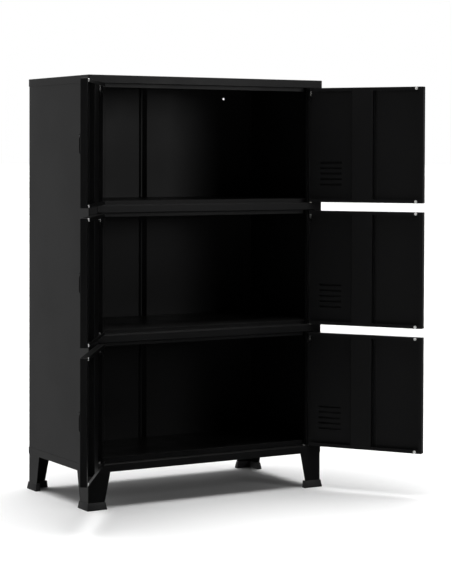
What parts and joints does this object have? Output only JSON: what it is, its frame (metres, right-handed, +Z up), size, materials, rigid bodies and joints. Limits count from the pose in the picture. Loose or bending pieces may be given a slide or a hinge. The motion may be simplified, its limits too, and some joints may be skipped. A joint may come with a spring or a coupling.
{
  "type": "steel storage cabinet",
  "caption": "Tall freestanding sheet-steel storage cabinet on legs, with tiers of shelves behind pairs of louvred hinged doors, shown with every door swung open.",
  "frame": {"origin": "on the floor, midway between the outer faces of the carcass in X and in Y", "axes": "+X to the right seen from the front, +Y to the back, +Z up; the front of the carcass is at Y = -0.225 m"},
  "size_m": [1.2846, 0.7905, 1.4],
  "materials": {
    "black_powder_coat": "satin fine-textured powder coat",
    "pull_metal": "smooth black enamel",
    "bright_steel": "bright zinc plate",
    "washer_nylon": "natural nylon",
    "foot_plastic": "matt moulded"
  },
  "bodies": {
    "carcass": {"back_panel": "black_powder_coat", "back_rivets": "pull_metal", "base_stop_strip": "black_powder_coat", "base_tray": "black_powder_coat", "fixed_hinge_studs": "bright_steel", "foot_front_left": "foot_plastic", "foot_front_right": "foot_plastic", "foot_rear_left": "foot_plastic", "foot_rear_right": "foot_plastic", "hinge_washers": "washer_nylon", "leg_bolts": "bright_steel", "leg_front_left": "black_powder_coat", "leg_front_right": "black_powder_coat", "leg_rear_left": "black_powder_coat", "leg_rear_right": "black_powder_coat", "lower_shelf": "black_powder_coat", "lower_shelf_rail": "black_powder_coat", "side_panel_left": "black_powder_coat", "side_panel_right": "black_powder_coat", "top_cap": "black_powder_coat", "top_stop_strip": "black_powder_coat", "upper_shelf": "black_powder_coat", "upper_shelf_rail": "black_powder_coat"},
    "door_lower_left": {"door_lower_left": "black_powder_coat", "door_lower_left_stiffener": "black_powder_coat", "door_lower_left_magnets": "bright_steel", "door_lower_left_pull_rose": "pull_metal"},
    "door_lower_left_ring": {"door_lower_left_ring": "pull_metal"},
    "door_lower_left_top_pin": {"door_lower_left_top_pin": "pull_metal"},
    "door_lower_right": {"door_lower_right": "black_powder_coat", "door_lower_right_stiffener": "black_powder_coat", "door_lower_right_magnets": "bright_steel", "door_lower_right_pull_rose": "pull_metal"},
    "door_lower_right_ring": {"door_lower_right_ring": "pull_metal"},
    "door_lower_right_top_pin": {"door_lower_right_top_pin": "pull_metal"},
    "door_middle_left": {"door_middle_left": "black_powder_coat", "door_middle_left_stiffener": "black_powder_coat", "door_middle_left_magnets": "bright_steel", "door_middle_left_pull_rose": "pull_metal"},
    "door_middle_left_ring": {"door_middle_left_ring": "pull_metal"},
    "door_middle_left_top_pin": {"door_middle_left_top_pin": "pull_metal"},
    "door_middle_right": {"door_middle_right": "black_powder_coat", "door_middle_right_stiffener": "black_powder_coat", "door_middle_right_magnets": "bright_steel", "door_middle_right_pull_rose": "pull_metal"},
    "door_middle_right_ring": {"door_middle_right_ring": "pull_metal"},
    "door_middle_right_top_pin": {"door_middle_right_top_pin": "pull_metal"},
    "door_upper_left": {"door_upper_left": "black_powder_coat", "door_upper_left_stiffener": "black_powder_coat", "door_upper_left_magnets": "bright_steel", "door_upper_left_pull_rose": "pull_metal"},
    "door_upper_left_ring": {"door_upper_left_ring": "pull_metal"},
    "door_upper_left_top_pin": {"door_upper_left_top_pin": "pull_metal"},
    "door_upper_right": {"door_upper_right": "black_powder_coat", "door_upper_right_stiffener": "black_powder_coat", "door_upper_right_magnets": "bright_steel", "door_upper_right_pull_rose": "pull_metal"},
    "door_upper_right_ring": {"door_upper_right_ring": "pull_metal"},
    "door_upper_right_top_pin": {"door_upper_right_top_pin": "pull_metal"}
  },
  "joints": [
    {"name": "door_lower_left_hinge", "type": "hinge", "parent": "carcass", "child": "door_lower_left", "pos_m": [-0.4065, -0.22, 0.34167], "axis": [0, 0, -1], "range_deg": [-125, 0]},
    {"name": "door_lower_left_ring_pivot", "type": "hinge", "parent": "door_lower_left", "child": "door_lower_left_ring", "pos_m": [-0.62159, -0.50887, 0.36567], "axis": [0.5736, 0.8192, 0], "range_deg": [0, 95]},
    {"name": "door_lower_left_top_pin_slide", "type": "slide", "parent": "door_lower_left", "child": "door_lower_left_top_pin", "axis": [0, 0, -1], "range_m": [0, 0.009], "stiffness_N_per_m": 400, "springref_m": -0.01},
    {"name": "door_lower_right_hinge", "type": "hinge", "parent": "carcass", "child": "door_lower_right", "pos_m": [0.4065, -0.22, 0.34167], "axis": [0, 0, 1], "range_deg": [-125, 0]},
    {"name": "door_lower_right_ring_pivot", "type": "hinge", "parent": "door_lower_right", "child": "door_lower_right_ring", "pos_m": [0.62159, -0.50887, 0.36567], "axis": [0.5736, -0.8192, 0], "range_deg": [0, 95]},
    {"name": "door_lower_right_top_pin_slide", "type": "slide", "parent": "door_lower_right", "child": "door_lower_right_top_pin", "axis": [0, 0, -1], "range_m": [0, 0.009], "stiffness_N_per_m": 400, "springref_m": -0.01},
    {"name": "door_middle_left_hinge", "type": "hinge", "parent": "carcass", "child": "door_middle_left", "pos_m": [-0.4065, -0.22, 0.76], "axis": [0, 0, -1], "range_deg": [-125, 0]},
    {"name": "door_middle_left_ring_pivot", "type": "hinge", "parent": "door_middle_left", "child": "door_middle_left_ring", "pos_m": [-0.62159, -0.50887, 0.784], "axis": [0.5736, 0.8192, 0], "range_deg": [0, 95]},
    {"name": "door_middle_left_top_pin_slide", "type": "slide", "parent": "door_middle_left", "child": "door_middle_left_top_pin", "axis": [0, 0, -1], "range_m": [0, 0.009], "stiffness_N_per_m": 400, "springref_m": -0.01},
    {"name": "door_middle_right_hinge", "type": "hinge", "parent": "carcass", "child": "door_middle_right", "pos_m": [0.4065, -0.22, 0.76], "axis": [0, 0, 1], "range_deg": [-125, 0]},
    {"name": "door_middle_right_ring_pivot", "type": "hinge", "parent": "door_middle_right", "child": "door_middle_right_ring", "pos_m": [0.62159, -0.50887, 0.784], "axis": [0.5736, -0.8192, 0], "range_deg": [0, 95]},
    {"name": "door_middle_right_top_pin_slide", "type": "slide", "parent": "door_middle_right", "child": "door_middle_right_top_pin", "axis": [0, 0, -1], "range_m": [0, 0.009], "stiffness_N_per_m": 400, "springref_m": -0.01},
    {"name": "door_upper_left_hinge", "type": "hinge", "parent": "carcass", "child": "door_upper_left", "pos_m": [-0.4065, -0.22, 1.17833], "axis": [0, 0, -1], "range_deg": [-125, 0]},
    {"name": "door_upper_left_ring_pivot", "type": "hinge", "parent": "door_upper_left", "child": "door_upper_left_ring", "pos_m": [-0.62159, -0.50887, 1.20233], "axis": [0.5736, 0.8192, 0], "range_deg": [0, 95]},
    {"name": "door_upper_left_top_pin_slide", "type": "slide", "parent": "door_upper_left", "child": "door_upper_left_top_pin", "axis": [0, 0, -1], "range_m": [0, 0.009], "stiffness_N_per_m": 400, "springref_m": -0.01},
    {"name": "door_upper_right_hinge", "type": "hinge", "parent": "carcass", "child": "door_upper_right", "pos_m": [0.4065, -0.22, 1.17833], "axis": [0, 0, 1], "range_deg": [-125, 0]},
    {"name": "door_upper_right_ring_pivot", "type": "hinge", "parent": "door_upper_right", "child": "door_upper_right_ring", "pos_m": [0.62159, -0.50887, 1.20233], "axis": [0.5736, -0.8192, 0], "range_deg": [0, 95]},
    {"name": "door_upper_right_top_pin_slide", "type": "slide", "parent": "door_upper_right", "child": "door_upper_right_top_pin", "axis": [0, 0, -1], "range_m": [0, 0.009], "stiffness_N_per_m": 400, "springref_m": -0.01}
  ]
}
